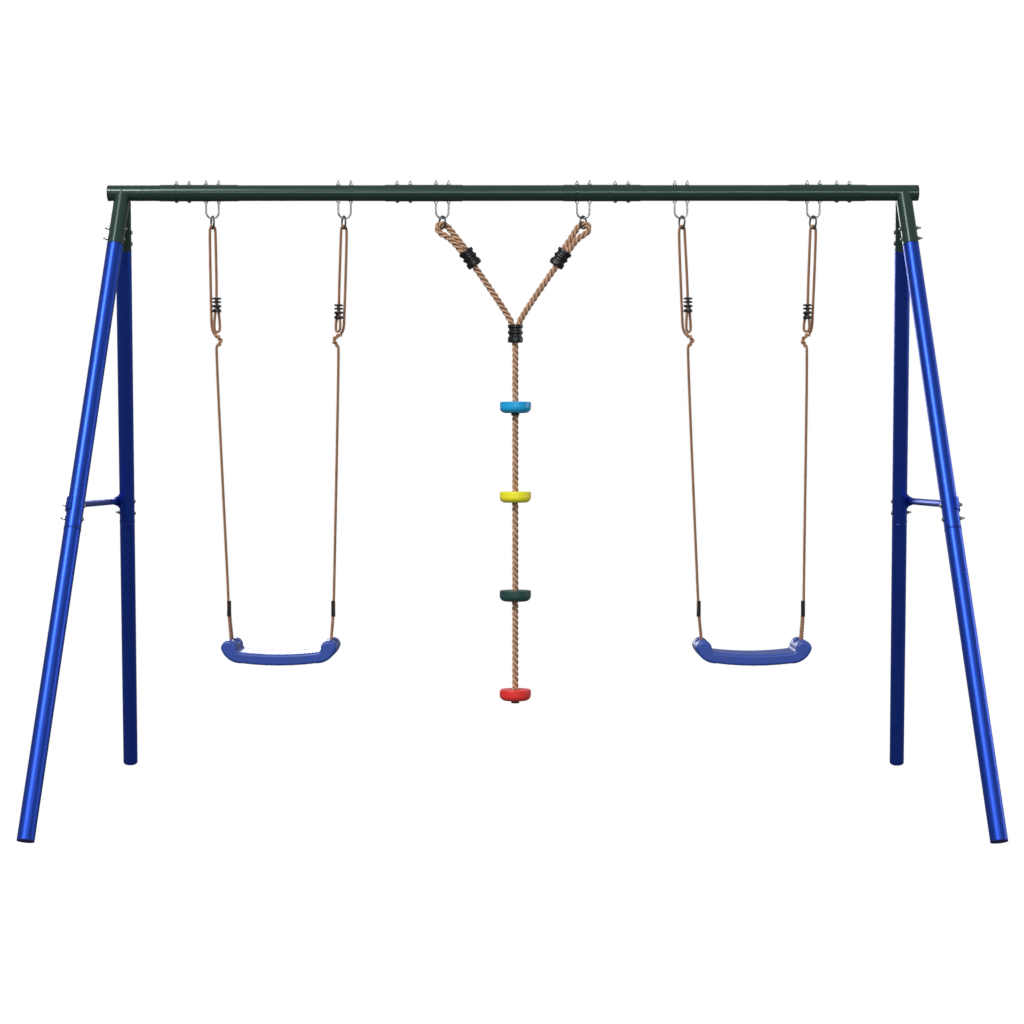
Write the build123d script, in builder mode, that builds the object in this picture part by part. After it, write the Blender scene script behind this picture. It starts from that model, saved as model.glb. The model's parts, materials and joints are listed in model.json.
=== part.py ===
"""Garden swing set: an A-frame of bolted steel tubes, two rope swings and a climbing rope with discs.

Frame: +X along the top beam, +Y from the front legs to the rear legs, +Z up.
The origin is on the ground, midway between the four feet. All sizes are in millimetres.
"""
from build123d import *
import math
import os

os.makedirs("parts", exist_ok=True)

# ---------------------------------------------------------------- driving dimensions
tube_d = 50.0  # beam and leg tube, outside
tube_wall = 1.5
slide_gap = 0.2  # between a reduced tube neck and the bore it slides into
leg_drop = 1925.5  # beam axis down to the centre of a foot's end face
top_half_x = 1239.6  # leg axes meet the beam axis here
foot_half_x = 1371.4
foot_half_y = 763.6
beam_half = 1286.3  # to the outer face of the end cap
cap_flange = 4.0
cap_plug = 25.0

bracket_joint_x = 997.5  # end bracket meets the side beam tube
middle_joint_x = 283.0  # side beam tube meets the middle one
sleeve_wall = 1.2
sleeve_gap = 0.1
sleeve_length = 245.0
outer_sleeve_x = 997.5
inner_sleeve_x = 283.0
sleeve_bolt_x = (1069.0, 1028.5, 367.0, 325.6)

socket_drop = 172.0  # beam axis down to the lower end of a leg socket
socket_bolt_drops = (118.0, 152.0)
joint_drop = 1054.0  # beam axis down to the joint between upper and lower leg
joint_bolt_drops = (985.0, 1025.0)
neck_length = 95.0
shoulder_r = 1.5  # rounding where a leg tube steps down to its neck
foot_flange = 3.0
foot_plug = 28.0

brace_d = 22.0
brace_wall = 1.5
brace_out = 34.0  # brace axis outwards from the leg's axis
saddle_wall = 4.4
saddle_gap = 0.3
saddle_height = 40.0
saddle_edge = 7.0  # the saddle's two edges, outwards from the leg's axis
flare_length = 40.0  # round tube to flattened end
flare_short = 12.0  # flattened end to the bolt
flare_half_height = 18.5
flare_half_width = 5.0
flare_out = 27.0  # middle of the flattened end, outwards from the leg's axis
drain_d = 5.0

bolt_d = 6.0
bolt_length = 65.0
bolt_head_d = 14.0
bolt_head_height = 4.5
hole_gap = 0.3
nut_flats = 10.0
nut_height = 5.0
nut_flange_d = 13.0
nut_flange_height = 1.2
thread_gap = 0.05

u_bolt_wire = 6.0
u_bolt_span = 40.0  # between the axes of its two legs
u_bolt_drop = 80.0  # beam axis down to the wire's axis at the bottom of the bend
u_bolt_tail = 40.0  # beam axis up to the ends of the threads
u_bolt_x = (954.7, 534.4, 224.0)

ring_outer_d = 45.0
ring_wire = 6.0
ring_gap = 0.4
ring_turn = 22.0  # degrees about the vertical, out of the plane across the beam

rope_d = 8.5
swing_sway = (5.7, 16.5)  # how far each seat hangs to the right of its U-bolts
ring_clear = 0.75  # rope to ring
bar_clear = 0.45  # rope to the seat's bar

seat_length = 366.0
seat_depth = 160.0
seat_rise = 36.0  # height of the front rim at the middle
seat_hang = 1418.0  # ring's pivot down to the underside at the middle
seat_wall = 4.5
seat_rib = 3.0
horn_x = 158.0  # rope axis from the middle of the seat
horn_r = 25.0
horn_rise = 80.0  # underside at the middle up to the top of a horn
horn_root = 24.0  # rope axis back to where the horn meets the board
shoulder_rise = 45.0  # underside at the middle up to the foot of a horn
end_half = 170.0  # a point on the rounded lower end: outwards, up
end_rise = 31.0
horn_blend = 11.0
keel_blend = 40.0
tip_blend = 15.0
roof_rise = 2.0  # ribbing's roof at its two ends, above the front rim's middle
keel_half = 120.0  # half of the underside's shallow middle arc
keel_lift = 7.5
seat_rim_r = 9.0
rib_shares = (-0.67, -0.33, 0.0, 0.33, 0.67)
valley_width = 44.0
bar_d = 8.0
bar_rise = 59.0  # underside at the middle up to the bar's axis

crimp_length = 50.0
crimp_rise = 151.0  # underside at the middle of the seat up to the lower end of the crimp
crimp_half_x = 6.6
crimp_half_y = 10.4

adjuster_d = 28.0
adjuster_core_d = 17.0
adjuster_length = 46.0
adjuster_ribs = ((0, 5), (11, 5), (23, 7), (37, 9))  # each rib: below the adjuster's top, thickness
adjuster_cover = 2.0  # adjuster's top above the place where its ropes part
adjuster_lower = 21.0  # the right-hand rope's adjuster is set this much lower
# How far each rope hangs inwards of its straight line: at the ring, in the loop and at the kink.
rope_leans = {"left": ((0.0, 0.0, 0.0), (3.0, 8.0, 13.0)), "right": ((3.0, 8.5, 9.0), (1.0, 7.5, 14.4))}

thick_rope_d = 19.0
climber_x = 8.0
collar_d = 49.0
collar_waist_d = 41.0
collar_length = 56.0
arm_collar_x = 143.0  # from the hanging rope's axis
arm_collar_hang = 127.0  # ring's pivot down to the middle of an arm collar
arm_lean = 35.0  # degrees from the vertical
arm_ring_out = 232.4  # ring from the hanging rope's axis, in the arm route
arm_shift_from = 214.0  # from this height up an arm is shifted sideways to meet its ring
arm_shift_over = 105.0
junction_hang = 338.0  # ring's pivot down to the top of the junction collar
sway_hang = 393.0  # ring's pivot down to the pivot in the junction collar's mouth
disc_d = 100.0
disc_height = 35.0
disc_hangs = (583.0, 868.5, 1183.5, 1500.5)  # ring's pivot down to each disc's top
disc_bore_gap = 1.0
disc_colours = ("blue", "yellow", "green", "red")  # from the top down
recessed_discs = ("yellow", "green")  # discs with their stop sunk in a counterbore
stop_d = 26.0
stop_height = 8.0
stop_gap = 0.1
mouth_gap = 4.2  # junction collar's mouth to the hanging rope, which sways in it
rope_head = 5.0  # hanging rope's top end above the pivot in the mouth
mouth_head = 9.0  # mouth's ceiling above the pivot, clear of the rope's corners as it sways

# ---------------------------------------------------------------- derived sizes and places
tube_r = tube_d / 2
bore_r = tube_r - tube_wall
neck_r = bore_r - slide_gap
hole_r = bolt_d / 2 + hole_gap
leg_lean = math.atan2(math.hypot(foot_half_x - top_half_x, foot_half_y), leg_drop)
foot_lift = tube_r * math.sin(leg_lean)
beam_height = leg_drop + foot_lift
leg_length = leg_drop / math.cos(leg_lean)
hang_z = beam_height - u_bolt_drop
ring_r = (ring_outer_d - ring_wire) / 2
ring_z = hang_z + u_bolt_wire / 2 + ring_gap + ring_wire / 2 - ring_r
seat_z = hang_z - seat_hang
bar_z = seat_z + bar_rise
hole_xs = sorted(
    [side * x for side in (-1, 1) for x in sleeve_bolt_x]
    + [side * x + end * u_bolt_span / 2 for side in (-1, 1) for x in u_bolt_x for end in (-1, 1)]
)


def along_leg(drop):
    """Distance down a leg's axis for a height below the beam axis."""
    return drop / math.cos(leg_lean)


def leg_plane(side, depth):
    """Plane on a leg's axis at the beam: z runs down the leg, x points out past the beam's end."""
    top = Vector(side * top_half_x, 0, beam_height)
    foot = Vector(side * foot_half_x, depth * foot_half_y, foot_lift)
    down = (foot - top).normalized()
    out = Vector(side, 0, 0)
    across = out - down * down.dot(out)
    return Plane(origin=top, x_dir=across, z_dir=down)


def cross_plane(leg, distance):
    """Plane through a leg's axis, whose normal runs across the leg and out past the beam's end."""
    return Plane(origin=leg.from_local_coords((0, 0, distance)), x_dir=leg.z_dir, z_dir=leg.x_dir)


def save(piece, name):
    piece.part.label = name
    export_step(piece.part, f"parts/{name}.step")


corners = {
    "front_left": (-1, -1),
    "rear_left": (-1, 1),
    "front_right": (1, -1),
    "rear_right": (1, 1),
}
sides = {"left": -1, "right": 1}


# ---------------------------------------------------------------- beam
def beam_tube(name, start, end):
    """A straight tube between two places along the beam, drilled through for bolts and U-bolts."""
    with BuildPart() as tube:
        with BuildSketch(Plane(origin=(start, 0, beam_height), x_dir=(0, 1, 0), z_dir=(1, 0, 0))):
            Circle(tube_r)
            Circle(bore_r, mode=Mode.SUBTRACT)
        extrude(amount=end - start)
        with Locations(*[(x, 0, beam_height) for x in hole_xs if start < x < end]):
            Cylinder(hole_r, 2 * tube_d, mode=Mode.SUBTRACT)
    save(tube, name)


beam_tube("beam_tube_left", -bracket_joint_x, -middle_joint_x)
beam_tube("beam_tube_middle", -middle_joint_x, middle_joint_x)
beam_tube("beam_tube_right", middle_joint_x, bracket_joint_x)


def beam_sleeve(name, centre):
    """A thin tube pushed over a joint in the beam and held by the bolts that cross it."""
    start = centre - sleeve_length / 2
    with BuildPart() as sleeve:
        with BuildSketch(Plane(origin=(start, 0, beam_height), x_dir=(0, 1, 0), z_dir=(1, 0, 0))):
            Circle(tube_r + sleeve_gap + sleeve_wall)
            Circle(tube_r + sleeve_gap, mode=Mode.SUBTRACT)
        extrude(amount=sleeve_length)
        with Locations(*[(x, 0, beam_height) for x in hole_xs if abs(x - centre) < sleeve_length / 2]):
            Cylinder(hole_r, 2 * tube_d, mode=Mode.SUBTRACT)
    save(sleeve, name)


for side_name, side in sides.items():
    beam_sleeve(f"beam_sleeve_{side_name}_outer", side * outer_sleeve_x)
    beam_sleeve(f"beam_sleeve_{side_name}_inner", side * inner_sleeve_x)

# End brackets: the end of the beam with two leg sockets welded under it, as one piece.
stub_end = beam_half - cap_flange
for side_name, side in sides.items():
    legs = [leg_plane(side, depth) for depth in (-1, 1)]
    with BuildPart() as bracket:
        with BuildSketch(Plane.YZ.offset(side * bracket_joint_x)):
            with Locations((0, beam_height)):
                Circle(tube_r)
        extrude(amount=side * (stub_end - bracket_joint_x))
        for leg in legs:
            with BuildSketch(leg):
                Circle(tube_r)
            extrude(amount=along_leg(socket_drop))
        for leg in legs:
            with BuildSketch(leg.offset(tube_d)):
                Circle(bore_r)
            extrude(amount=along_leg(socket_drop), mode=Mode.SUBTRACT)
        with BuildSketch(Plane.YZ.offset(side * bracket_joint_x)):
            with Locations((0, beam_height)):
                Circle(bore_r)
        extrude(amount=side * (stub_end - bracket_joint_x), mode=Mode.SUBTRACT)
        with Locations(*[(x, 0, beam_height) for x in hole_xs if x * side > bracket_joint_x]):
            Cylinder(hole_r, 2 * tube_d, mode=Mode.SUBTRACT)
        for leg in legs:
            with Locations(*[cross_plane(leg, along_leg(drop)) for drop in socket_bolt_drops]):
                Cylinder(hole_r, 2 * tube_d, mode=Mode.SUBTRACT)
    save(bracket, f"end_bracket_{side_name}")

with BuildPart() as beam_end_caps:
    for side in sides.values():
        with BuildSketch(Plane.YZ.offset(side * stub_end)):
            with Locations((0, beam_height)):
                Circle(tube_r)
        extrude(amount=side * cap_flange)
        with BuildSketch(Plane.YZ.offset(side * stub_end)):
            with Locations((0, beam_height)):
                Circle(neck_r)
                Circle(neck_r - tube_wall, mode=Mode.SUBTRACT)
        extrude(amount=-side * cap_plug)
save(beam_end_caps, "beam_end_caps")


# ---------------------------------------------------------------- legs
def leg_tube(name, leg, start, end, holes):
    """A leg tube whose upper end is drawn down to a neck that slides into the tube above it."""
    with BuildPart() as tube:
        with BuildSketch(leg.offset(start)):
            Circle(tube_r)
        extrude(amount=end - start)
        with BuildSketch(leg.offset(start)):
            Circle(neck_r)
        extrude(amount=-neck_length)
        with BuildSketch(leg.offset(start - neck_length)):
            Circle(neck_r - tube_wall)
        extrude(amount=neck_length + 2 * tube_wall, mode=Mode.SUBTRACT)
        with BuildSketch(leg.offset(start + 2 * tube_wall)):
            Circle(bore_r)
        extrude(amount=end - start, mode=Mode.SUBTRACT)
        top = leg.from_local_coords((0, 0, start))
        rim = tube.edges().filter_by(GeomType.CIRCLE).filter_by(lambda e: abs(e.radius - tube_r) < 0.01)
        fillet(rim.sort_by(lambda e: (e.arc_center - top).length)[0], radius=shoulder_r)
        with Locations(*[cross_plane(leg, distance) for distance in holes]):
            Cylinder(hole_r, 2 * tube_d, mode=Mode.SUBTRACT)
    save(tube, name)


socket_end = along_leg(socket_drop)
leg_joint = along_leg(joint_drop)
socket_holes = [along_leg(drop) for drop in socket_bolt_drops]
joint_holes = [along_leg(drop) for drop in joint_bolt_drops]
for corner, (side, depth) in corners.items():
    leg = leg_plane(side, depth)
    leg_tube(f"upper_leg_{corner}", leg, socket_end, leg_joint, socket_holes + joint_holes)
    leg_tube(f"lower_leg_{corner}", leg, leg_joint, leg_length - foot_flange, joint_holes)
    with BuildPart() as foot_cap:
        with BuildSketch(leg.offset(leg_length - foot_flange)):
            Circle(tube_r)
        extrude(amount=foot_flange)
        with BuildSketch(leg.offset(leg_length - foot_flange)):
            Circle(neck_r)
            Circle(neck_r - tube_wall, mode=Mode.SUBTRACT)
        extrude(amount=-foot_plug)
    save(foot_cap, f"foot_cap_{corner}")

# Side braces: a thin tube on the outer side of the two legs. Its ends are flattened and end in a
# saddle that cups the leg and is bolted through it.
brace_distance = joint_holes[0]
saddle_r = tube_r + saddle_gap
for side_name, side in sides.items():
    centre = leg_plane(side, -1).from_local_coords((0, 0, brace_distance))
    half_gap = abs(centre.Y)
    tube_half = half_gap - flare_short - flare_length
    brace_x = centre.X + side * brace_out
    with BuildPart() as brace:
        with BuildSketch(Plane.XZ.offset(-tube_half)):
            with Locations((brace_x, centre.Z)):
                Circle(brace_d / 2)
        extrude(amount=2 * tube_half)
        for depth in (-1, 1):
            leg = leg_plane(side, depth)
            with BuildSketch(Plane.XZ.offset(-depth * tube_half)):
                with Locations((brace_x, centre.Z)):
                    Circle(brace_d / 2)
            with BuildSketch(Plane.XZ.offset(-depth * (half_gap - flare_short))):
                with Locations((centre.X + side * flare_out, centre.Z)):
                    Ellipse(flare_half_width, flare_half_height)
            loft()
            with BuildSketch(leg.offset(brace_distance - saddle_height / 2)):
                Circle(saddle_r + saddle_wall)
                with Locations((saddle_edge - tube_d, 0)):
                    Rectangle(2 * tube_d, 3 * tube_d, mode=Mode.SUBTRACT)
            extrude(amount=saddle_height)
        for depth in (-1, 1):
            leg = leg_plane(side, depth)
            with BuildSketch(leg.offset(brace_distance - 2 * saddle_height)):
                Circle(saddle_r)
            extrude(amount=4 * saddle_height, mode=Mode.SUBTRACT)
            with Locations(cross_plane(leg, brace_distance)):
                Cylinder(hole_r, 2 * tube_d, mode=Mode.SUBTRACT)
        with BuildSketch(Plane.XZ.offset(-tube_half)):
            with Locations((brace_x, centre.Z)):
                Circle(brace_d / 2 - brace_wall)
        extrude(amount=2 * tube_half, mode=Mode.SUBTRACT)
        with Locations(*[(brace_x, end * (tube_half - brace_d), centre.Z - brace_d / 2) for end in (-1, 1)]):
            Cylinder(drain_d / 2, brace_d, mode=Mode.SUBTRACT)
    save(brace, f"side_brace_{side_name}")

# ---------------------------------------------------------------- fasteners
with BuildPart() as bolt:
    with BuildSketch(Plane.XZ):
        with BuildLine():
            crown = ThreePointArc(
                (0, -bolt_head_height), (bolt_head_d * 0.36, -bolt_head_height * 0.72), (bolt_head_d / 2, 0)
            )
            Polyline(
                crown @ 1,
                (bolt_d / 2, 0),
                (bolt_d / 2, bolt_length - 1),
                (bolt_d / 2 - 1, bolt_length),
                (0, bolt_length),
                crown @ 0,
            )
        make_face()
    revolve(axis=Axis.Z)

with BuildPart() as flange_nut:
    Cylinder(nut_flange_d / 2, nut_flange_height, align=(Align.CENTER, Align.CENTER, Align.MIN))
    with BuildSketch(Plane.XY.offset(nut_flange_height)):
        RegularPolygon(nut_flats / 2, 6, major_radius=False)
    extrude(amount=nut_height)
    Cylinder(
        bolt_d / 2 + thread_gap,
        4 * nut_height,
        align=(Align.CENTER, Align.CENTER, Align.CENTER),
        mode=Mode.SUBTRACT,
    )

sleeve_r = tube_r + sleeve_gap + sleeve_wall
beam_bolt_planes = [
    Plane(origin=(side * x, 0, beam_height - sleeve_r), z_dir=(0, 0, 1))
    for side in (-1, 1)
    for x in sleeve_bolt_x
]


def across_leg(leg, distance, offset):
    """Plane across a leg, its normal outwards, that far from the leg's axis."""
    return cross_plane(leg, distance).offset(offset)


brace_grip = saddle_r + saddle_wall
leg_bolt_planes = []
leg_nut_planes = []
for side, depth in corners.values():
    leg = leg_plane(side, depth)
    for distance in socket_holes + [joint_holes[1]]:
        leg_bolt_planes.append(across_leg(leg, distance, -tube_r))
        leg_nut_planes.append(across_leg(leg, distance, tube_r))
    leg_bolt_planes.append(across_leg(leg, brace_distance, -tube_r))
    leg_nut_planes.append(across_leg(leg, brace_distance, brace_grip))

with BuildPart() as beam_bolts:
    with Locations(*beam_bolt_planes):
        add(bolt.part)
save(beam_bolts, "beam_bolts")

with BuildPart() as leg_bolts:
    with Locations(*leg_bolt_planes):
        add(bolt.part)
save(leg_bolts, "leg_bolts")

with BuildPart() as beam_nuts:
    with Locations(*[plane.offset(2 * sleeve_r) for plane in beam_bolt_planes]):
        add(flange_nut.part)
save(beam_nuts, "beam_nuts")

with BuildPart() as leg_nuts:
    with Locations(*leg_nut_planes):
        add(flange_nut.part)
save(leg_nuts, "leg_nuts")


# ---------------------------------------------------------------- U-bolts
def beam_radius_at(x):
    """Outside radius of the beam at a place, which a sleeve makes larger."""
    covered = [c for c in (outer_sleeve_x, inner_sleeve_x) if abs(abs(x) - c) < sleeve_length / 2]
    return sleeve_r if covered else tube_r


u_bolt_names = {
    "u_bolt_swing_left_outer": -u_bolt_x[0],
    "u_bolt_swing_left_inner": -u_bolt_x[1],
    "u_bolt_climber_left": -u_bolt_x[2],
    "u_bolt_climber_right": u_bolt_x[2],
    "u_bolt_swing_right_inner": u_bolt_x[1],
    "u_bolt_swing_right_outer": u_bolt_x[0],
}
bend_r = u_bolt_span / 2
nut_planes = []
for name, x in u_bolt_names.items():
    with BuildPart() as u_bolt:
        with BuildLine():
            first = Line((x - bend_r, 0, beam_height + u_bolt_tail), (x - bend_r, 0, hang_z + bend_r))
            bend = ThreePointArc(first @ 1, (x, 0, hang_z), (x + bend_r, 0, hang_z + bend_r))
            Line(bend @ 1, (x + bend_r, 0, beam_height + u_bolt_tail))
        with BuildSketch(Plane(origin=first @ 0, z_dir=first % 0)):
            Circle(u_bolt_wire / 2)
        sweep()
    save(u_bolt, name)
    for end in (-1, 1):
        leg_x = x + end * bend_r
        clear = beam_radius_at(leg_x)
        nut_planes.append(Plane(origin=(leg_x, 0, beam_height + clear), z_dir=(0, 0, 1)))
        nut_planes.append(Plane(origin=(leg_x, 0, beam_height - clear), z_dir=(0, 0, -1)))

with BuildPart() as u_bolt_nuts:
    with Locations(*nut_planes):
        add(flange_nut.part)
save(u_bolt_nuts, "u_bolt_nuts")


# ---------------------------------------------------------------- rings and ropes
def hanging_rings(name, places):
    """Steel rings that hang on the bottom bends of two U-bolts."""
    with BuildPart() as rings:
        for x, turn in places:
            with Locations((x, 0, ring_z)):
                Torus(ring_r, ring_wire / 2, rotation=(90, 90 + turn, 0))
    save(rings, name)


def corner_radii(points, tight=()):
    """Fillet radius at each inner point: as large as its runs allow, or the tight corner's own."""
    radii = []
    for index in range(1, len(points) - 1):
        before = Vector(*points[index]) - Vector(*points[index - 1])
        after = Vector(*points[index + 1]) - Vector(*points[index])
        turn = math.radians(before.get_angle(after))
        largest = 0.45 * min(before.length, after.length) / math.tan(turn / 2)
        radii.append(dict(tight).get(index, largest))
    return radii


def rope(name, points, diameter, tight=()):
    """A rope as one round tube of straight runs and tangent arcs."""
    radii = corner_radii(points, tight)
    with BuildPart() as tube:
        with BuildLine() as route:
            FilletPolyline(*points, radius=radii)
        with BuildSketch(Plane(origin=route.line @ 0, z_dir=route.line % 0)):
            Circle(diameter / 2)
        sweep()
    length = sum(edge.length for edge in route.edges())
    expected = length * math.pi * diameter**2 / 4
    print(name, "length", round(length, 1), "radii", [round(r, 1) for r in radii])
    print(name, "volume share", round(tube.part.volume / expected, 4))
    save(tube, name)


# One swing rope, from its end in the crimp, round the seat's bar, up to the ring and back down to
# the adjuster: inward distance from the U-bolt, distance towards the rear, drop below the ring's pivot.
reach = hang_z - bar_z
bar_turn = bar_d / 2 + rope_d / 2 + bar_clear
ring_turn_r = ring_wire / 2 + rope_d / 2 + ring_clear
ring_turn_drop = hang_z - ring_z + ring_r - ring_turn_r
swing_rope_route = [
    (43.6, 4.9, reach - 133.0),
    (46.0, 4.9, reach - 87.0),
    (51.4, bar_turn, reach - 29.0),
    (52.2, bar_turn, reach + bar_turn + 0.1),
    (50.0, -bar_turn, reach + bar_turn + 0.1),
    (49.4, -bar_turn, reach - 29.0),
    (43.6, -4.9, reach - 89.0),
    (42.0, -4.9, reach - 143.0),
    (41.0, 0.0, reach - 173.0),
    (7.9, 0.0, 416.0),
    (12.0, 3.0, 403.0),
    (20.0, 4.5, 397.0),
    (24.5, -2.0, 389.5),
    (20.5, -5.5, 380.0),
    (12.5, -1.5, 373.0),
    (3.0, 3.0, 369.5),
    (-5.8, 7.0, 350.0),
    (-7.0, 6.5, 318.0),
    (-9.4, 1.0, 60.0),
    (-ring_turn_r, 0.4, ring_turn_drop),
    (ring_turn_r, -0.4, ring_turn_drop),
    (9.4, 0.0, 60.0),
    (12.0, 0.0, 254.0),
    (7.4, -5.0, 298.0),
    (4.4, -8.0, 330.0),
    (4.4, -8.0, 360.0),
    (19.6, 8.0, 360.0),
    (19.6, 8.0, 330.0),
    (16.5, 5.0, 296.0),
    (16.5, 5.0, 282.0),
]
round_bar = bar_turn - 0.1
round_ring = ring_turn_r - 0.1
loop_turn = 10.4
swing_rope_tight = {3: round_bar, 4: round_bar, 19: round_ring, 20: round_ring, 25: loop_turn, 26: loop_turn}
adjuster_points = (22, 23, 28, 29)
lean_drops = (60.0, 230.0, 410.0, reach - 173.0)  # where a rope's own lean is given


def lean_at(drop, lean):
    """A rope's own inward lean at a drop: given at the ring, in the loop and at the kink, nil at the seat."""
    values = (*lean, 0.0)
    if drop <= lean_drops[0]:
        return values[0]
    for index in range(1, len(lean_drops)):
        if drop <= lean_drops[index]:
            share = (drop - lean_drops[index - 1]) / (lean_drops[index] - lean_drops[index - 1])
            return values[index - 1] + share * (values[index] - values[index - 1])
    return 0.0


def swing_rope_points(anchor_x, inward, sway, lowered, lean):
    """The route in the object's frame: it leans with the swing's sway, and its adjuster may be lower."""
    points = []
    for index, (across, back, drop) in enumerate(swing_rope_route):
        lower = lowered if index in adjuster_points else 0
        swayed = sway * max(drop - lean_drops[0], 0) / (reach - lean_drops[0])
        x = anchor_x + inward * (across + lean_at(drop, lean)) + swayed
        points.append((x, back, hang_z - drop - lower))
    return points


# ---------------------------------------------------------------- swings
def swing_seat(name, centre_x):
    """Moulded seat: a shallow dished board with an upturned horn at each end, ribbed underneath."""
    half = seat_length / 2
    horn_z = horn_rise - horn_r
    shoulder = horn_x - horn_root
    front = Plane(origin=(centre_x, -seat_depth / 2, seat_z), x_dir=(1, 0, 0), z_dir=(0, -1, 0))
    with BuildPart() as ribbing:
        with BuildSketch(front.offset(-seat_wall)):
            with BuildLine():
                roof = ThreePointArc(
                    (-keel_half, seat_rise + roof_rise),
                    (0, seat_rise - seat_wall),
                    (keel_half, seat_rise + roof_rise),
                )
                Polyline(roof @ 1, (keel_half, -seat_rise), (-keel_half, -seat_rise), roof @ 0)
            make_face()
        extrude(amount=2 * seat_wall - seat_depth)
        with Locations(*[(centre_x + share * keel_half, 0, seat_z) for share in rib_shares]):
            Box(seat_rib, seat_depth, 4 * seat_rise, mode=Mode.SUBTRACT)
        with Locations(*[(centre_x, end * 0.15 * seat_depth, seat_z) for end in (-1, 1)]):
            Box(seat_length, seat_rib, 4 * seat_rise, mode=Mode.SUBTRACT)
    with BuildPart() as seat:
        with BuildSketch(front) as outline:
            with BuildLine():
                keel = ThreePointArc((-keel_half, keel_lift), (0, 0), (keel_half, keel_lift))
                right_end = ThreePointArc(keel @ 1, (end_half, end_rise), (half, horn_z))
                right_horn = ThreePointArc(right_end @ 1, (horn_x, horn_rise), (shoulder, shoulder_rise))
                board = ThreePointArc(right_horn @ 1, (0, seat_rise), (-shoulder, shoulder_rise))
                left_horn = ThreePointArc(board @ 1, (-horn_x, horn_rise), (-half, horn_z))
                ThreePointArc(left_horn @ 1, (-end_half, end_rise), keel @ 0)
            make_face()
            corners_by_x = outline.vertices().sort_by(Axis.X)
            fillet(corners_by_x[0:1] + corners_by_x[5:6], radius=tip_blend)
            fillet(outline.vertices().filter_by(lambda v: abs(abs(v.X) - shoulder) < 2), radius=horn_blend)
            fillet(outline.vertices().filter_by(lambda v: abs(abs(v.X) - keel_half) < 2), radius=keel_blend)
        extrude(amount=-seat_depth)
        fillet(seat.faces().filter_by(Axis.Y).edges(), radius=seat_rim_r)
        add(ribbing.part, mode=Mode.SUBTRACT)
        for side in (-1, 1):
            with Locations((centre_x + side * (horn_x + 6), 0, bar_z + bar_d + 25)):
                Box(64, valley_width, 50, mode=Mode.SUBTRACT)
            with Locations((centre_x + side * horn_x, 0, bar_z)):
                Box(22, valley_width - 8, 32, mode=Mode.SUBTRACT)
                Cylinder(bar_d / 2, 30, rotation=(0, 90, 0))
    save(seat, name)


swing_ends = {"left": (-1, (-u_bolt_x[0], -u_bolt_x[1])), "right": (1, (u_bolt_x[1], u_bolt_x[0]))}
for (side_name, (side, anchors)), sway in zip(swing_ends.items(), swing_sway):
    seat_x = sum(anchors) / 2 + sway
    ring_places = [
        (anchor + inward * lean[0], ring_turn)
        for anchor, inward, lean in zip(anchors, (1, -1), rope_leans[side_name])
    ]
    hanging_rings(f"swing_{side_name}_rings", ring_places)
    swing_seat(f"swing_{side_name}_seat", seat_x)
    crimp_places = []
    adjuster_places = []
    for rope_name, anchor, inward, lowered, lean in (
        ("left", anchors[0], 1, 0, rope_leans[side_name][0]),
        ("right", anchors[1], -1, adjuster_lower, rope_leans[side_name][1]),
    ):
        points = swing_rope_points(anchor, inward, sway, lowered, lean)
        rope(f"swing_{side_name}_rope_{rope_name}", points, rope_d, swing_rope_tight)
        round_crimp = [Vector(points[index]) for index in (0, 1, 6, 7)]
        crimp_places.append(sum(round_crimp, Vector(0, 0, 0)) / len(round_crimp))
        adjuster_places.append(Vector(points[22]))
    with BuildPart() as crimps:
        for place in crimp_places:
            with BuildSketch(Plane.XY.offset(seat_z + crimp_rise)):
                with Locations((place.X, place.Y)):
                    Ellipse(crimp_half_x, crimp_half_y)
            extrude(amount=crimp_length)
    save(crimps, f"swing_{side_name}_crimps")
    with BuildPart() as adjusters:
        for place in adjuster_places:
            top = place.Z + adjuster_cover
            with BuildSketch(Plane.XY.offset(top - adjuster_length)):
                with Locations((place.X, place.Y)):
                    Circle(adjuster_core_d / 2)
            extrude(amount=adjuster_length)
            for down, thick in adjuster_ribs:
                with BuildSketch(Plane.XY.offset(top - down - thick)):
                    with Locations((place.X, place.Y)):
                        Circle(adjuster_d / 2)
                extrude(amount=thick)
    save(adjusters, f"swing_{side_name}_adjusters")

# ---------------------------------------------------------------- climbing rope
arm_angle = math.radians(arm_lean)
collar_z = hang_z - arm_collar_hang
junction_z = hang_z - junction_hang
sway_z = hang_z - sway_hang
hanging_rings("climber_rings", [(-u_bolt_x[2], 30), (u_bolt_x[2], -30)])

# One arm, from its end in the collar, round the ring and back through the collar to the junction:
# distance outwards from the hanging rope's axis, distance towards the rear, height above the junction.
arm_route = [
    (136.0, 5.5, 215.0),
    (156.5, 5.5, 239.0),
    (198.0, 5.5, 290.0),
    (221.0, 2.0, 319.5),
    (248.0, -2.0, 319.5),
    (246.5, -3.5, 294.0),
    (206.0, -5.5, 274.0),
    (168.0, -5.5, 229.0),
    (150.0, -5.5, 209.0),
    (122.0, -1.0, 176.0),
    (14.5, 0.0, 18.0),
    (9.8, 0.0, -8.0),
    (9.8, 0.0, -44.0),
]
arm_tight = {3: 13.0, 4: 13.0, 5: 14.0}
for side_name, side in sides.items():
    shift = side * u_bolt_x[2] - (climber_x + side * arm_ring_out)
    points = []
    for out, back, up in arm_route:
        share = max(0.0, (up - arm_shift_from) / arm_shift_over)
        points.append((climber_x + side * out + shift * min(share, 1), back, junction_z + up))
    rope(f"climber_arm_rope_{side_name}", points, thick_rope_d, arm_tight)

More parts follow.
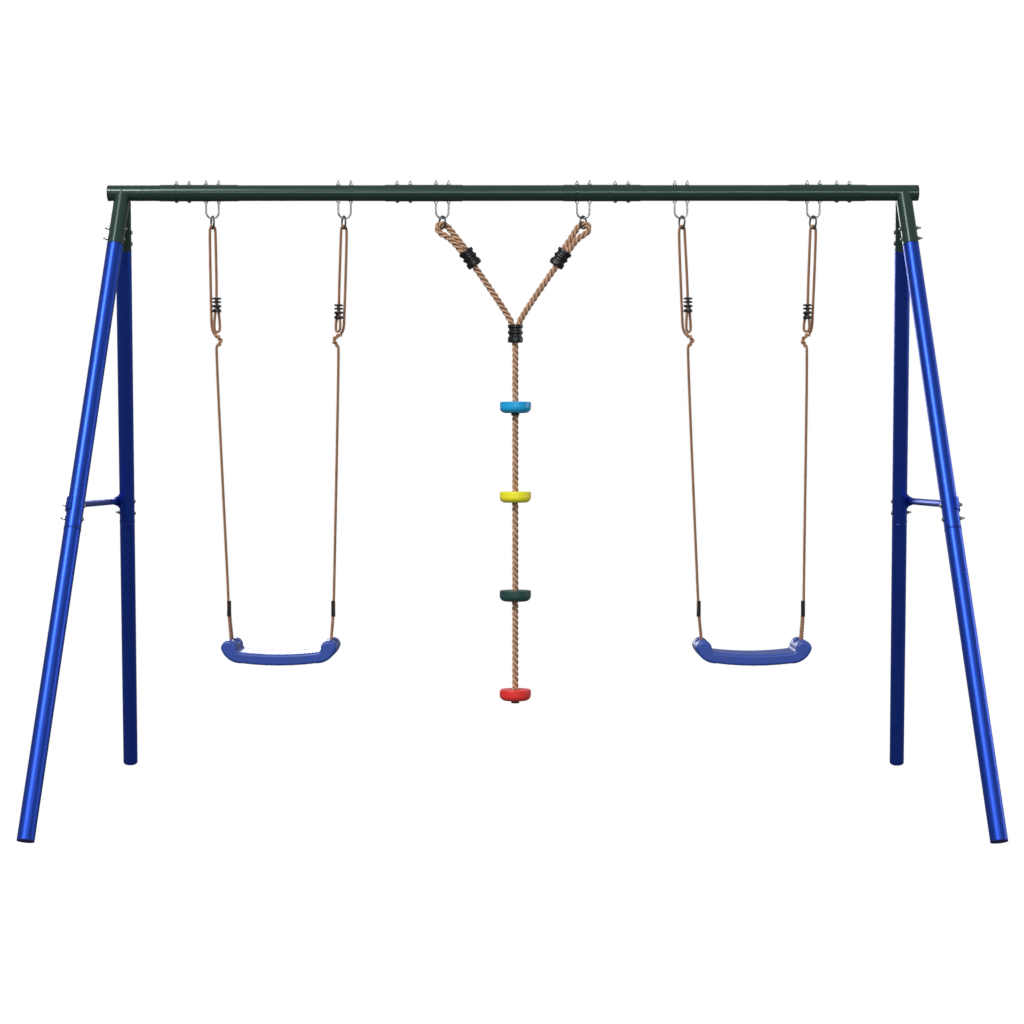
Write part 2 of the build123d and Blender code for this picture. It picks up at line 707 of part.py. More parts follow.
collar_profile = [
    (0, 0),
    (collar_d / 2, 0),
    (collar_d / 2, 8),
    (collar_waist_d / 2, 12),
    (collar_waist_d / 2, 18),
    (collar_d / 2, 22),
    (collar_d / 2, 27),
    (collar_waist_d / 2, 31),
    (collar_waist_d / 2, 36),
    (collar_d / 2, 41),
    (collar_d / 2, collar_length - 3),
    (collar_d / 2 - 3, collar_length),
    (0, collar_length),
]


def collar_body(plane):
    """Ribbed collar, turned about its axis, from its top end down the plane's normal."""
    with BuildPart() as collar:
        with BuildSketch(Plane.XZ):
            with BuildLine():
                Polyline(*collar_profile, close=True)
            make_face()
        revolve(axis=Axis.Z)
    return plane.from_local_coords(collar.part)


arm_planes = []
for side in sides.values():
    down = Vector(-side * math.sin(arm_angle), 0, -math.cos(arm_angle))
    middle = Vector(climber_x + side * arm_collar_x, 0, collar_z)
    arm_planes.append(Plane(origin=middle - down * (collar_length / 2), x_dir=(0, 1, 0), z_dir=down))
with BuildPart() as arm_collars:
    for plane in arm_planes:
        add(collar_body(plane))
save(arm_collars, "climber_arm_collars")

mouth_r = thick_rope_d / 2 + mouth_gap
with BuildPart() as junction_collar:
    add(collar_body(Plane(origin=(climber_x, 0, junction_z), x_dir=(1, 0, 0), z_dir=(0, 0, -1))))
    with BuildSketch(Plane.XY.offset(junction_z - collar_length)):
        with Locations((climber_x, 0)):
            Circle(mouth_r)
    extrude(amount=sway_z + mouth_head - (junction_z - collar_length), mode=Mode.SUBTRACT)
save(junction_collar, "climber_junction_collar")

disc_tops = [hang_z - down for down in disc_hangs]
rope_end_z = disc_tops[-1] - disc_height - stop_height + 2
with BuildPart() as hanging_rope:
    with BuildSketch(Plane.XY.offset(rope_end_z)):
        with Locations((climber_x, 0)):
            Circle(thick_rope_d / 2)
    extrude(amount=sway_z + rope_head - rope_end_z)
save(hanging_rope, "climber_rope")

for name, top in zip(disc_colours, disc_tops):
    with BuildPart() as disc:
        with BuildSketch(Plane.XY.offset(top - disc_height)):
            with Locations((climber_x, 0)):
                Circle(disc_d / 2)
        extrude(amount=disc_height)
        fillet(disc.edges().sort_by(Axis.Z)[0], radius=18)
        fillet(disc.edges().sort_by(Axis.Z)[-1], radius=3)
        with BuildSketch(Plane.XY.offset(top - disc_height)):
            with Locations((climber_x, 0)):
                Circle(thick_rope_d / 2 + disc_bore_gap)
        extrude(amount=disc_height, mode=Mode.SUBTRACT)
        if name in recessed_discs:
            with BuildSketch(Plane.XY.offset(top - disc_height)):
                with Locations((climber_x, 0)):
                    Circle(stop_d / 2 + disc_bore_gap)
            extrude(amount=stop_height + ring_gap, mode=Mode.SUBTRACT)
    save(disc, f"climber_disc_{name}")


def rope_stop(z, depth):
    """Clamped ring under a disc, down from a height."""
    with BuildPart() as stop:
        with BuildSketch(Plane.XY.offset(z - stop_height)):
            with Locations((climber_x, 0)):
                Circle(stop_d / 2)
                Circle(thick_rope_d / 2 + stop_gap, mode=Mode.SUBTRACT)
        extrude(amount=depth)
    return stop.part


with BuildPart() as disc_stops:
    for name, top in list(zip(disc_colours, disc_tops))[:-1]:
        sunk = stop_height + ring_gap if name in recessed_discs else 0
        add(rope_stop(top - disc_height - ring_gap + sunk, stop_height))
save(disc_stops, "climber_disc_stops")

with BuildPart() as end_stop:
    add(rope_stop(disc_tops[-1] - disc_height - ring_gap, stop_height))
save(end_stop, "climber_end_stop")
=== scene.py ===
"""Looks of the garden swing set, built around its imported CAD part.

Frame: +X along the top beam, +Y from the front legs to the rear legs, +Z up, metres.
"""

import json
import math

import bmesh
import bpy
import numpy as np
from mathutils import Matrix, Vector

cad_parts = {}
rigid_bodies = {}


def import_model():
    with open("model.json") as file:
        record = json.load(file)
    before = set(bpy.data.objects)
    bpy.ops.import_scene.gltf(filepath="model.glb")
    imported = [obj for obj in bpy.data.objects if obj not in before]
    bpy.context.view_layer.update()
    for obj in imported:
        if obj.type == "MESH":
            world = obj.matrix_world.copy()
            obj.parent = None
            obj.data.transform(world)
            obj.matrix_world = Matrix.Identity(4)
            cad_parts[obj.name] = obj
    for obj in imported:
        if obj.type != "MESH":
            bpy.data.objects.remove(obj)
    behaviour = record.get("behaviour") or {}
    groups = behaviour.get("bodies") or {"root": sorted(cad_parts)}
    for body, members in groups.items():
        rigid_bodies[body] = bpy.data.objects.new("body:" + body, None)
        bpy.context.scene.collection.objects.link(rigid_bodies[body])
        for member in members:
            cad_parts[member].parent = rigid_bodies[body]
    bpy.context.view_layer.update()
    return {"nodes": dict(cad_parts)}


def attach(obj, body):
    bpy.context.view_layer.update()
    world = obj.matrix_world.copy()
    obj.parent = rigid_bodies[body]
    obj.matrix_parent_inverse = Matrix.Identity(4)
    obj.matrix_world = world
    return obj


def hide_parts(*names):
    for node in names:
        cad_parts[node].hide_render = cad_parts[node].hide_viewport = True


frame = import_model()

# ---------------------------------------------------------------- studio
# A white paper floor under a white sky. One soft box stands up on the left behind the camera and a
# long low strip beside it, with two weak boxes for the far side and the back.
camera = bpy.data.objects.new("camera", bpy.data.cameras.new("camera"))
camera.location = (0.0186, -6.375, 1.0603)
camera.rotation_euler = (math.radians(88.751), 0, math.radians(0.189))
camera.data.lens = 70.31
camera.data.sensor_width = 36
camera.data.clip_end = 60
bpy.context.scene.collection.objects.link(camera)
bpy.context.scene.camera = camera
bpy.context.scene.view_settings.view_transform = "Standard"


def linear(colour):
    """An sRGB hex colour as linear RGBA."""
    parts = [int(colour[i:i + 2], 16) / 255 for i in (0, 2, 4)]
    return [p / 12.92 if p <= 0.04045 else ((p + 0.055) / 1.055) ** 2.4 for p in parts] + [1]


def node(tree, kind, links=(), **settings):
    """Adds a shader node: its settings, then its sockets, each linked or given a constant."""
    made = tree.nodes.new("ShaderNode" + kind)
    for key, value in settings.items():
        setattr(made, key, value)
    for socket, value in dict(links).items():
        if isinstance(value, bpy.types.NodeSocket):
            tree.links.new(value, made.inputs[socket])
        else:
            made.inputs[socket].default_value = value
    return made


world = bpy.data.worlds.new("studio")
bpy.context.scene.world = world
world.use_nodes = True
sky = world.node_tree
sky.nodes.clear()
seen = node(sky, "Background", {"Color": linear("ffffff"), "Strength": 1.0})
direction = node(sky, "TexCoord")
height = node(sky, "SeparateXYZ", {0: direction.outputs["Generated"]})
below, above = -0.25, 0.35  # how far down and up the sky's light changes
dim, bright = 0.17, 0.42
dimming = node(sky, "MapRange", {0: height.outputs["Z"], 1: below, 2: above, 3: dim, 4: bright})
around = node(sky, "Background", {"Color": linear("eef2f6"), "Strength": dimming.outputs[0]})
path = node(sky, "LightPath")
chosen = node(sky, "MixShader", {
    0: path.outputs["Is Camera Ray"], 1: around.outputs[0], 2: seen.outputs[0],
})
node(sky, "OutputWorld", {"Surface": chosen.outputs[0]})


def soft_box(name, place, target, width, height, watts):
    """A rectangular area light that faces a point."""
    light = bpy.data.lights.new(name, "AREA")
    light.shape = "RECTANGLE"
    light.size = width
    light.size_y = height
    light.energy = watts
    made = bpy.data.objects.new(name, light)
    made.location = place
    made.rotation_euler = (Vector(target) - Vector(place)).to_track_quat("-Z", "Y").to_euler()
    bpy.context.scene.collection.objects.link(made)


soft_box("key", (-6.0, -11.5, 12.0), (0, 0, 1.2), 2.4, 1.2, 1850)
soft_box("low strip", (0.8, -9.6, 3.1), (0, 0, 1.6), 7.0, 0.5, 190)
soft_box("side fill", (9.5, 2.0, 2.6), (0, 0, 1.0), 2.5, 3.0, 160)
soft_box("back fill", (-3.0, 9.5, 2.6), (0, 0, 1.0), 3.5, 3.0, 220)


floor_half = 14
floor_z = -0.001  # just under the feet
floor_cut = bmesh.new()
bmesh.ops.create_grid(
    floor_cut, x_segments=1, y_segments=1, size=floor_half, matrix=Matrix.Translation((0, 0, floor_z))
)
floor_mesh = bpy.data.meshes.new("floor")
floor_cut.to_mesh(floor_mesh)
floor_cut.free()
floor = bpy.data.objects.new("floor", floor_mesh)
bpy.context.scene.collection.objects.link(floor)
paper = bpy.data.materials.new("studio_paper")  # matt white background paper
paper.use_nodes = True
paper.node_tree.nodes.clear()
white = node(paper.node_tree, "Emission", {"Color": linear("ffffff"), "Strength": 1.0})
node(paper.node_tree, "OutputMaterial", {"Surface": white.outputs[0]})
floor_mesh.materials.append(paper)
floor.visible_diffuse = False
floor.visible_glossy = False

# ---------------------------------------------------------------- powder-coated tubes
# Round steel tube of 50 mm: the beam, its thin joint sleeves and the end brackets are coated dark
# green, the eight leg tubes and the two side braces blue. Powder coat is a satin skin with a fine
# orange-peel ripple.


def material(name, colour, second, patch_mm, roughness, grain_mm, grain, metallic=0.0):
    """A satin surface: two near colours in soft patches and a fine grain in its normal and gloss."""
    made = bpy.data.materials.new(name)
    made.use_nodes = True
    tree = made.node_tree
    shader = tree.nodes["Principled BSDF"]
    place = node(tree, "TexCoord")
    patches = node(tree, "TexNoise", {
        "Vector": place.outputs["Object"], "Scale": 1000 / patch_mm, "Detail": 3, "Roughness": 0.5,
    })
    tint = node(tree, "Mix", data_type="RGBA", links={
        0: patches.outputs["Fac"], 6: linear(colour), 7: linear(second),
    })
    fine = node(tree, "TexNoise", {
        "Vector": place.outputs["Object"], "Scale": 1000 / grain_mm, "Detail": 2, "Roughness": 0.6,
    })
    gloss = node(tree, "MapRange", {
        0: fine.outputs["Fac"], 1: 0.3, 2: 0.7, 3: roughness * 0.88, 4: min(roughness * 1.12, 1),
    })
    bump = node(tree, "Bump", {"Strength": grain, "Distance": 0.0002, "Height": fine.outputs["Fac"]})
    tree.links.new(tint.outputs[2], shader.inputs["Base Color"])
    tree.links.new(gloss.outputs[0], shader.inputs["Roughness"])
    tree.links.new(bump.outputs[0], shader.inputs["Normal"])
    shader.inputs["Metallic"].default_value = metallic
    return made


# Dark green satin powder coat, orange peel about 2 mm across.
green_coat = material("green_powder_coat", "293e35", "2e463b", 140, 0.22, 2.0, 0.12, metallic=0.3)
# Strong blue satin powder coat of the same kind.
blue_coat = material("blue_powder_coat", "2345b0", "264ab8", 140, 0.40, 2.0, 0.12, metallic=0.85)


def show(names, finish):
    """Shows CAD nodes with one finish."""
    for name in names:
        shown = frame["nodes"][name]
        for index in range(len(shown.data.materials)):
            shown.data.materials[index] = finish


corners = ("front_left", "rear_left", "front_right", "rear_right")
show(["beam_tube_left", "beam_tube_middle", "beam_tube_right"], green_coat)
show(["beam_sleeve_left_outer", "beam_sleeve_left_inner"], green_coat)
show(["beam_sleeve_right_outer", "beam_sleeve_right_inner"], green_coat)
show(["end_bracket_left", "end_bracket_right"], green_coat)
show([f"upper_leg_{corner}" for corner in corners], blue_coat)
show([f"lower_leg_{corner}" for corner in corners], blue_coat)
show(["side_brace_left", "side_brace_right"], blue_coat)

# ---------------------------------------------------------------- end and foot caps
# Push-in plastic caps with a flush outer rim close the beam's two ends, in black, and the four feet, in dark
# blue.
black = material("black_plastic", "0e1012", "15171a", 60, 0.34, 0.9, 0.12)  # glossy black polypropylene
navy = material("navy_plastic", "0a0a5c", "0c0d66", 60, 0.85, 0.9, 0.12)  # dark blue polypropylene
show(["beam_end_caps"], black)
show([f"foot_cap_{corner}" for corner in corners], navy)

# ---------------------------------------------------------------- leg joints
# Each leg tube ends in a cut edge round the neck of the next one. The narrow gap there is shown as
# a dark, slightly proud ring of painted shade, with a soft swaged bead just below it.
tube_r = 0.025
leg_drop = 1.9255  # from the beam's axis to the foot's middle
leg_top_x = 1.2396
foot_x = 1.3714
foot_y = 0.7636
leg_spread = foot_x - leg_top_x
beam_z = leg_drop + tube_r * math.sin(math.atan2(math.hypot(leg_spread, foot_y), leg_drop))
leg_tops = {"left": Vector((-leg_top_x, 0, beam_z)), "right": Vector((leg_top_x, 0, beam_z))}
neck_drop = 0.172  # where the bracket's socket ends
joint_drop = 1.054  # where the upper leg tube ends
bead_drop = joint_drop + 0.0032


def leg_rings(name, drops, thickness, proud):
    """Rings of round section round all four legs, at drops below the beam's axis."""
    mesh = bmesh.new()
    for corner in corners:
        depth, side = corner.split("_")
        top = leg_tops[side]
        back = foot_y if depth == "rear" else -foot_y
        foot = Vector((math.copysign(foot_x, top.x), back, beam_z - leg_drop))
        down = (foot - top).normalized()
        level = down.cross(Vector((1, 0, 0))).normalized()
        for drop in drops:
            centre = top + (foot - top) * drop / leg_drop
            place = Matrix((level, down, level.cross(down))).transposed().to_4x4()
            place.translation = centre + level * (tube_r + proud - thickness / 2)
            made = bmesh.ops.create_circle(mesh, segments=10, radius=thickness / 2, matrix=place)
            edges = list({edge for vertex in made["verts"] for edge in vertex.link_edges})
            bmesh.ops.spin(
                mesh, geom=made["verts"] + edges, cent=centre, axis=down, angle=2 * math.pi, steps=64,
                use_merge=True,
            )
    bmesh.ops.recalc_face_normals(mesh, faces=mesh.faces)
    rings = bpy.data.meshes.new(name)
    mesh.to_mesh(rings)
    mesh.free()
    rings.shade_smooth()
    return rings


def piece(name, mesh, finish, body, replaced=()):
    """Puts a finished mesh in the scene, on the CAD body that carries it."""
    mesh.materials.append(finish)
    made = bpy.data.objects.new(name, mesh)
    bpy.context.scene.collection.objects.link(made)
    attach(made, body)
    if replaced:
        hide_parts(*replaced)
    return made


# Painted shade: a dark blue ring stands for the shadow in the gap at each socket end and leg joint.
joint_shadow_paint = material("painted_joint_shadow", "070a2a", "0a0e34", 40, 0.35, 0.9, 0.1)  # dark blue paint
gap_shadows = leg_rings("leg_joint_gap_shadows", (neck_drop, joint_drop), thickness=0.0026, proud=0.0008)
piece("leg_joint_gap_shadows", gap_shadows, joint_shadow_paint, "frame")
beads = leg_rings("leg_joint_beads", (bead_drop,), thickness=0.0034, proud=0.0009)
piece("leg_joint_beads", beads, blue_coat, "frame")

# ---------------------------------------------------------------- fasteners
# Zinc-plated M6 bolts with low domed heads and hexagon flange nuts; the plating is bright and
# slightly mottled.
zinc = material("zinc_steel", "a2a6aa", "909498", 14, 0.32, 0.6, 0.1, metallic=1.0)  # bright zinc plate
show(["beam_bolts", "leg_bolts", "beam_nuts", "leg_nuts", "u_bolt_nuts"], zinc)
u_bolts = [f"u_bolt_{place}" for place in (
    "swing_left_outer", "swing_left_inner", "climber_left", "climber_right", "swing_right_inner",
    "swing_right_outer",
)]
show(u_bolts, zinc)
# Zinc plate on the rings, darker and a little duller than on the bolts.
darker_zinc = material("darker_zinc_steel", "686b6f", "54575b", 9, 0.36, 0.6, 0.1, metallic=1.0)
show(["swing_left_rings", "swing_right_rings", "climber_rings"], darker_zinc)

# ---------------------------------------------------------------- swing ropes
# Each swing hangs on two three-strand laid ropes of spun polypropylene, 8.5 mm thick. Each runs from
# a black crimp round the seat's bar, up to the ring and back to the adjuster below it.


def rope_material(name, lit, dark, painted_groove_shade, fibre_mm):
    """Laid rope: fine fibres along it, a soft mottle, and painted shade in the grooves between the strands.
    """
    made = bpy.data.materials.new(name)
    made.use_nodes = True
    tree = made.node_tree
    shader = tree.nodes["Principled BSDF"]
    place = node(tree, "UVMap", uv_map="UVMap")
    around, slender = 34, 7  # fibres round the rope, and how many times longer than wide each is
    stretched = node(tree, "Mapping", {
        "Vector": place.outputs["UV"], "Scale": (around, 1000 / fibre_mm / slender, 1),
    })
    fibres = node(tree, "TexNoise", {
        "Vector": stretched.outputs[0], "Scale": 1.0, "Detail": 3, "Roughness": 0.65,
    })
    where = node(tree, "TexCoord")
    mottle = node(tree, "TexNoise", {"Vector": where.outputs["Object"], "Scale": 1000 / 24, "Detail": 2})
    mixed = node(tree, "Math", {0: fibres.outputs["Fac"], 1: mottle.outputs["Fac"]}, operation="ADD")
    share = node(tree, "MapRange", {0: mixed.outputs[0], 1: 0.72, 2: 1.28, 3: 0.0, 4: 1.0})
    tint = node(tree, "Mix", data_type="RGBA", links={0: share.outputs[0], 6: linear(dark), 7: linear(lit)})
    between = node(tree, "Attribute", attribute_name="painted_groove_shade")
    shaded = node(tree, "Mix", data_type="RGBA", links={
        0: between.outputs["Fac"], 6: tint.outputs[2], 7: linear(painted_groove_shade),
    })
    bump = node(tree, "Bump", {"Strength": 0.6, "Distance": 0.0003, "Height": fibres.outputs["Fac"]})
    tree.links.new(shaded.outputs[2], shader.inputs["Base Color"])
    tree.links.new(bump.outputs[0], shader.inputs["Normal"])
    shader.inputs["Roughness"].default_value = 0.72
    return made


# The third colour is the painted shade in the grooves between the strands.
thin_rope = rope_material("thin_rope", "dba581", "b07f5f", "3a281c", 1.2)  # tan spun polypropylene


def centreline(name, control, spacing):
    """Evenly spaced points along the smooth curve that its control points describe."""
    curve = bpy.data.curves.new(name, "CURVE")
    curve.dimensions = "3D"
    spline = curve.splines.new("NURBS")
    spline.points.add(len(control) - 1)
    for point, place in zip(spline.points, control):
        point.co = (*place, 1)
    spline.order_u = 3
    spline.use_endpoint_u = True
    spline.resolution_u = 24
    line = bpy.data.objects.new(name, curve)
    read = bpy.data.meshes.new_from_object(line)
    dense = np.array([v.co for v in read.vertices], float)
    bpy.data.objects.remove(line)
    bpy.data.curves.remove(curve)
    bpy.data.meshes.remove(read)
    steps = np.linalg.norm(np.diff(dense, axis=0), axis=1)
    keep = np.concatenate([[True], steps > 1e-7])
    dense = dense[keep]
    gone = np.concatenate([[0], np.cumsum(np.linalg.norm(np.diff(dense, axis=0), axis=1))])
    count = max(int(gone[-1] / spacing), 2)
    at = np.linspace(0, gone[-1], count + 1)
    return np.stack([np.interp(at, gone, dense[:, k]) for k in range(3)], axis=1), gone[-1]


def across_line(points):
    """Tangents and two directions across a line, carried along it without twist."""
    tangents = np.gradient(points, axis=0)
    tangents /= np.linalg.norm(tangents, axis=1)[:, None]
    normals = np.empty_like(points)
    start = np.cross(tangents[0], (0, 1, 0) if abs(tangents[0][1]) < 0.9 else (1, 0, 0))
    normals[0] = start / np.linalg.norm(start)
    for i in range(1, len(points)):
        carried = normals[i - 1] - tangents[i] * np.dot(normals[i - 1], tangents[i])
        normals[i] = carried / np.linalg.norm(carried)
    return tangents, normals, np.cross(tangents, normals)


def rings_mesh(name, rings, along):
    """A capped skin over rows of points, one ring per row, with a UV of turns around and metres along."""
    rows, steps = rings.shape[:2]
    faces = []
    uvs = []
    for i in range(rows - 1):
        for j in range(steps):
            beside = (j + 1) % steps
            faces.append((i * steps + j, i * steps + beside, (i + 1) * steps + beside, (i + 1) * steps + j))
            left, right = j / steps, (j + 1) / steps
            uvs += [(left, along[i]), (right, along[i]), (right, along[i + 1]), (left, along[i + 1])]
    faces.append(tuple(range(steps - 1, -1, -1)))
    faces.append(tuple((rows - 1) * steps + j for j in range(steps)))
    uvs += [(0, along[0])] * steps + [(0, along[-1])] * steps
    mesh = bpy.data.meshes.new(name)
    mesh.from_pydata(rings.reshape(-1, 3).tolist(), [], faces)
    mesh.uv_layers.new(name="UVMap").data.foreach_set("uv", np.asarray(uvs, float).ravel())
    return mesh


def laid_rope(name, points, diameter, lay, steps, strand_share=0.53, offset_share=0.58):
    """The skin of a three-strand rope: three round lobes that wind along its line, a little unevenly."""
    radius = diameter / 2
    strand = strand_share * radius
    offset = offset_share * radius
    angles = np.arange(steps) / steps * 2 * math.pi
    from_strand = (angles + math.pi / 3) % (2 * math.pi / 3) - math.pi / 3
    inside = np.maximum(strand**2 - (offset * np.sin(from_strand)) ** 2, 0)
    core = 0.45 * radius  # as deep as the grooves go
    outline = np.maximum(offset * np.cos(from_strand) + np.sqrt(inside), core)
    tangents, normals, sides = across_line(points)
    gone = np.concatenate([[0], np.cumsum(np.linalg.norm(np.diff(points, axis=0), axis=1))])
    uneven = 0.30 * np.sin(gone / (1.7 * lay)) + 0.18 * np.sin(gone / (0.61 * lay) + 1)
    turned = angles[None, :] - 2 * math.pi * gone[:, None] / lay + uneven[:, None]
    out = np.cos(turned)[:, :, None] * normals[:, None, :] + np.sin(turned)[:, :, None] * sides[:, None, :]
    mesh = rings_mesh(name, points[:, None, :] + outline[None, :, None] * out, gone)
    lit_crown = 0.17  # depth below a strand's crown at which the shade starts, and over which it deepens
    shade_depth = 0.36
    # Painted shade: the deeper a point lies between the strands, the more of the dark groove colour it takes.
    painted_groove_shade = np.clip((strand_share + offset_share - lit_crown - outline / radius) / shade_depth, 0, 1)
    mesh.attributes.new("painted_groove_shade", "FLOAT", "POINT").data.foreach_set("value", np.tile(painted_groove_shade, len(points)))
    mesh.shade_smooth()
    return mesh


ring_drop = 0.080  # from the beam's axis to where the rings hang
seat_drop = 1.418  # from there to the seat
bar_rise = 0.059  # the bar in the seat's horn, above that level
hang_z = beam_z - ring_drop
bar_z = hang_z - seat_drop + bar_rise
reach = hang_z - bar_z
swing_rope_route = [
    (0.0436, 0.0049, reach - 0.133),
    (0.0460, 0.0049, reach - 0.087),
    (0.0514, 0.0087, reach - 0.029),
    (0.0522, 0.0087, reach + 0.0088),
    (0.0500, -0.0087, reach + 0.0088),
    (0.0494, -0.0087, reach - 0.029),
    (0.0436, -0.0049, reach - 0.089),
    (0.0420, -0.0049, reach - 0.143),
    (0.0410, 0.0, reach - 0.173),
    (0.0079, 0.0, 0.416),
    (0.0120, 0.0030, 0.403),
    (0.0200, 0.0045, 0.397),
    (0.0245, -0.0020, 0.3895),
    (0.0205, -0.0055, 0.380),
    (0.0125, -0.0015, 0.373),
    (0.0030, 0.0030, 0.3695),
    (-0.0058, 0.0070, 0.350),
    (-0.0070, 0.0065, 0.318),
    (-0.0094, 0.0010, 0.060),
    (-0.0080, 0.0004, 0.0246),
    (0.0080, -0.0004, 0.0246),
    (0.0094, 0.0, 0.060),
    (0.0120, 0.0, 0.254),
    (0.0074, -0.0050, 0.298),
    (0.0044, -0.0080, 0.330),
    (0.0044, -0.0080, 0.360),
    (0.0196, 0.0080, 0.360),
    (0.0196, 0.0080, 0.330),
    (0.0165, 0.0050, 0.296),
    (0.0165, 0.0050, 0.282),
]
adjuster_points = (22, 23, 28, 29)  # the route's points in and by the adjuster, lower on two ropes
adjuster_top = 22
adjuster_lowered = 0.021
lean_drops = (0.060, 0.230, 0.410, reach - 0.173)
rope_leans = {
    ("left", "left"): (0, 0, 0, 0), ("left", "right"): (0.003, 0.008, 0.013, 0),
    ("right", "left"): (0.003, 0.0085, 0.009, 0), ("right", "right"): (0.001, 0.0075, 0.0144, 0),
}
rope_d = 0.0085
thin_lay = 0.028
knot_top, knot_bottom = 0.369, 0.404  # how far the knot hangs below the rings
knot_radius = 0.0048
knot_d = 0.0062
knot_lay = 0.019
knot_turns = 3.5
swings = {"left": ((-0.9547, -0.5344), 0.0057), "right": ((0.5344, 0.9547), 0.0165)}
routes = {}
for side, (anchors, sway) in swings.items():
    for rope_side, anchor, inward, lowered in (
        ("left", anchors[0], 1, 0), ("right", anchors[1], -1, adjuster_lowered),
    ):
        points = []
        for index, (across, back, drop) in enumerate(swing_rope_route):
            lower = lowered if index in adjuster_points else 0
            lean = float(np.interp(drop, lean_drops, rope_leans[(side, rope_side)]))
            swayed = sway * max(drop - lean_drops[0], 0) / (reach - lean_drops[0])
            x = anchor + inward * (across + lean) + swayed
            points.append((x, back, hang_z - drop - lower))
        name = f"swing_{side}_rope_{rope_side}"
        line, length = centreline(name, points, 0.0016)
        skin = laid_rope(name, line, rope_d, thin_lay, 18, strand_share=0.42, offset_share=0.76)
        rope = piece(f"look_{name}", skin, thin_rope, f"{side}_swing_ropes", [name])
        routes[(side, rope_side)] = points
        # The rope's own slack is taken up in a small knot just under the loop.
        slack = line[(line[:, 2] < hang_z - knot_top) & (line[:, 2] > hang_z - knot_bottom)]
        slack = slack[np.argsort(slack[:, 2])][::-1]
        ahead, aside = across_line(slack)[1:]
        turns = np.linspace(0, knot_turns * 2 * math.pi, len(slack))[:, None]
        wound = slack + knot_radius * (np.cos(turns) * ahead + np.sin(turns) * aside)
        knot = centreline(f"{name}_knot", wound, 0.0012)[0]
        skin = laid_rope(f"{name}_knot", knot, knot_d, knot_lay, 12)
        piece(f"look_{name}_knot", skin, thin_rope, f"{side}_swing_ropes")

# ---------------------------------------------------------------- crimps and adjusters
# The lower end of each swing rope is held by a black moulded crimp. Its upper end slides in an
# adjuster, a stack of four round black plates on a thin core, with the rope showing between them.
adjuster_plates = ((0, 0.005), (0.011, 0.005), (0.023, 0.007), (0.037, 0.009))  # drop, thickness
adjuster_core = (0.002, 0.042)
plate_r = 0.014
core_r = 0.0052


def plate_stack(name, tops):
    """The four round plates of each adjuster, and the slim core that joins them."""
    mesh = bmesh.new()
    for top in tops:
        for down, thickness in (*adjuster_plates, adjuster_core):
            radius = core_r if (down, thickness) == adjuster_core else plate_r
            made = bmesh.ops.create_cone(
                mesh, cap_ends=True, segments=40, radius1=radius, radius2=radius, depth=thickness,
                matrix=Matrix.Translation(top - Vector((0, 0, down + thickness / 2))),
            )
            edges = {edge for vertex in made["verts"] for edge in vertex.link_edges}
            rims = [edge for edge in edges if abs(edge.verts[0].co.z - edge.verts[1].co.z) < 1e-6]
            bmesh.ops.bevel(
                mesh, geom=rims, offset=0.0011, offset_type="OFFSET", segments=3, profile=0.5, affect="EDGES",
                material=-1,
            )
    plates = bpy.data.meshes.new(name)
    mesh.to_mesh(plates)
    mesh.free()
    plates.shade_smooth()
    return plates


for side in swings:
    show([f"swing_{side}_crimps"], black)
    tops = []
    for rope_side in ("left", "right"):
        tops.append(Vector(routes[(side, rope_side)][adjuster_top]) + Vector((0, 0, 0.002)))
    piece(
        f"look_swing_{side}_adjusters", plate_stack(f"swing_{side}_adjusters", tops), black,
        f"{side}_swing_ropes", [f"swing_{side}_adjusters"],
    )

# ---------------------------------------------------------------- seats
# Moulded blue polyethylene seats, ribbed underneath, with an upturned horn at each end.
seat_blue = material("blue_plastic", "2c48a0", "324ea4", 90, 0.40, 1.1, 0.12)  # blue moulded polyethylene
show(["swing_left_seat", "swing_right_seat"], seat_blue)

# ---------------------------------------------------------------- climbing rope
# A thick three-strand rope of 19 mm: two arms go up through ribbed collars to the rings, and one
# rope hangs from the junction collar through four loose discs.
arm_route = [
    (0.1360, 0.0055, 0.215),
    (0.1565, 0.0055, 0.239),
    (0.1980, 0.0055, 0.290),
    (0.2210, 0.0020, 0.3195),
    (0.2480, -0.0020, 0.3195),
    (0.2465, -0.0035, 0.294),
    (0.2060, -0.0055, 0.274),
    (0.1680, -0.0055, 0.229),
    (0.1500, -0.0055, 0.209),
    (0.1220, -0.0010, 0.176),
    (0.0145, 0.0, 0.018),
    (0.0098, 0.0, -0.008),
    (0.0098, 0.0, -0.044),
]
thick_rope_d = 0.019
climber_x = 0.008
junction_z = beam_z - 0.418
sway_z = beam_z - 0.473
arm_ring_x = 0.224  # the rings' distance from the middle of the beam
eye_out = 0.2324  # and the eye's, as the route has it
eye_foot, eye_rise = 0.214, 0.105  # the eye is moved over to its ring between these heights
thick_lay = 0.055
# The third colour is the painted shade in the grooves between the strands.
thick_rope = rope_material("thick_rope", "d6aa8a", "b08a6e", "69503d", 1.6)  # the same yarn, thicker strands
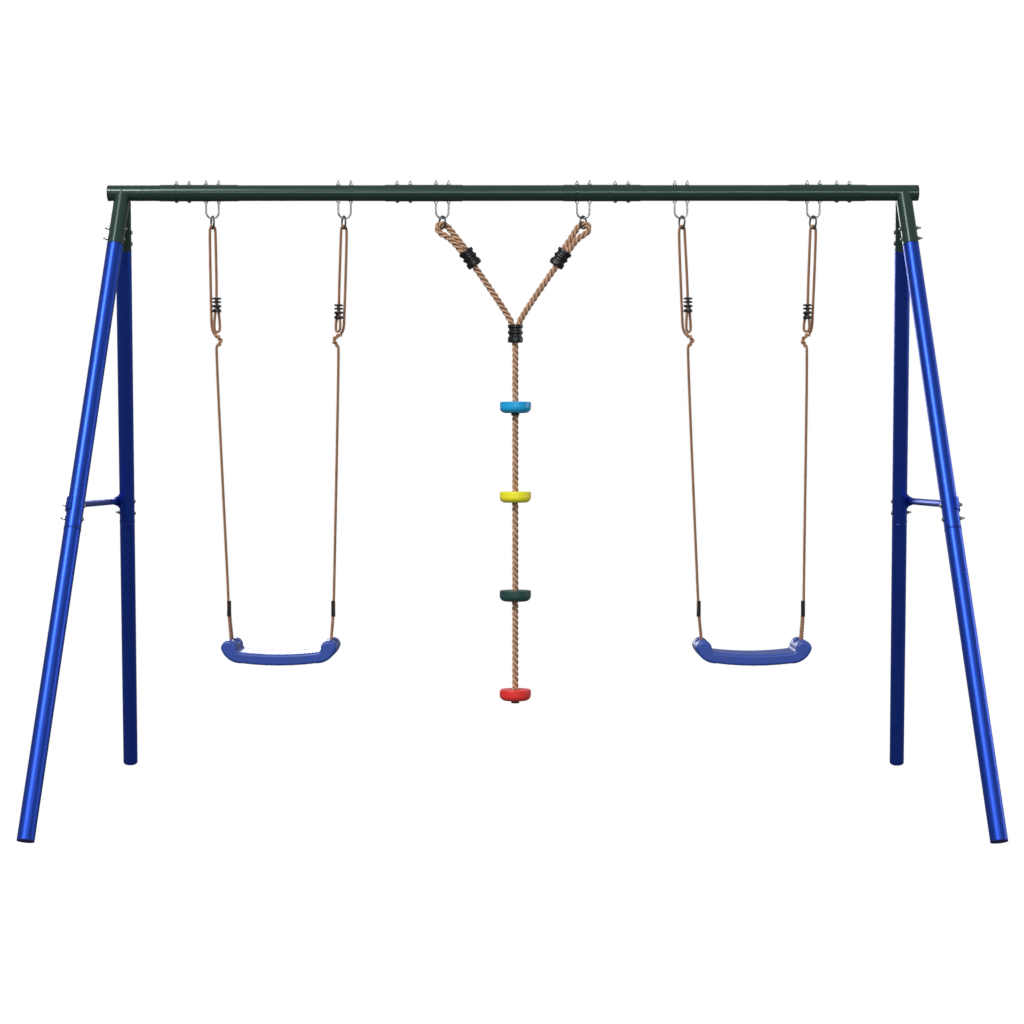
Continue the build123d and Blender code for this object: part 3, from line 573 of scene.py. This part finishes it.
for side_name, side in (("left", -1), ("right", 1)):
    shift = side * arm_ring_x - (climber_x + side * eye_out)
    points = []
    for out, back, up in arm_route:
        share = min(max(0.0, (up - eye_foot) / eye_rise), 1)
        points.append((climber_x + side * out + shift * share, back, junction_z + up))
    name = f"climber_arm_rope_{side_name}"
    line, length = centreline(name, points, 0.003)
    skin = laid_rope(name, line, thick_rope_d, thick_lay, 30)
    rope = piece(f"look_{name}", skin, thick_rope, "climber_yoke", [name])

rope_top_z = sway_z + 0.005
rope_end_z = hang_z - 1.5415
hanging = np.array([(climber_x, 0, z) for z in np.linspace(rope_top_z, rope_end_z, 386)])
skin = laid_rope("climber_rope", hanging, thick_rope_d, thick_lay, 30)
rope = piece("look_climber_rope", skin, thick_rope, "climber_drop_rope", ["climber_rope"])
show(["climber_arm_collars", "climber_junction_collar"], black)

# ---------------------------------------------------------------- discs
# Four loose discs on the hanging rope, each on a clamped stop ring. All are satin polyethylene, in
# sky blue, yellow, dark green and red from the top down.
disc_finishes = {
    "blue": material("sky_blue_plastic", "14a2e0", "1ea8e0", 70, 0.36, 1.1, 0.1),  # sky blue polyethylene
    "yellow": material("yellow_plastic", "fdf52e", "f4ec2c", 70, 0.36, 1.1, 0.1),  # yellow polyethylene
    "green": material("dark_green_plastic", "204440", "264a45", 70, 0.36, 1.1, 0.1),  # green polyethylene
    "red": material("red_plastic", "f03330", "e83432", 70, 0.36, 1.1, 0.1),  # red polyethylene
}
for colour, finish in disc_finishes.items():
    show([f"climber_disc_{colour}"], finish)
dark_red = material("dark_red_plastic", "5e0a10", "6a0c12", 40, 0.4, 1.1, 0.1)  # dark red polyethylene
show(["climber_disc_stops"], black)
show(["climber_end_stop"], dark_red)

# ---------------------------------------------------------------- sizes
look_low = Vector((math.inf,) * 3)
look_high = Vector((-math.inf,) * 3)
for shown in bpy.context.scene.objects:
    if shown.type == "MESH" and shown is not floor and not shown.hide_render:
        for vertex in shown.data.vertices:
            place = shown.matrix_world @ vertex.co
            look_low = Vector(map(min, look_low, place))
            look_high = Vector(map(max, look_high, place))
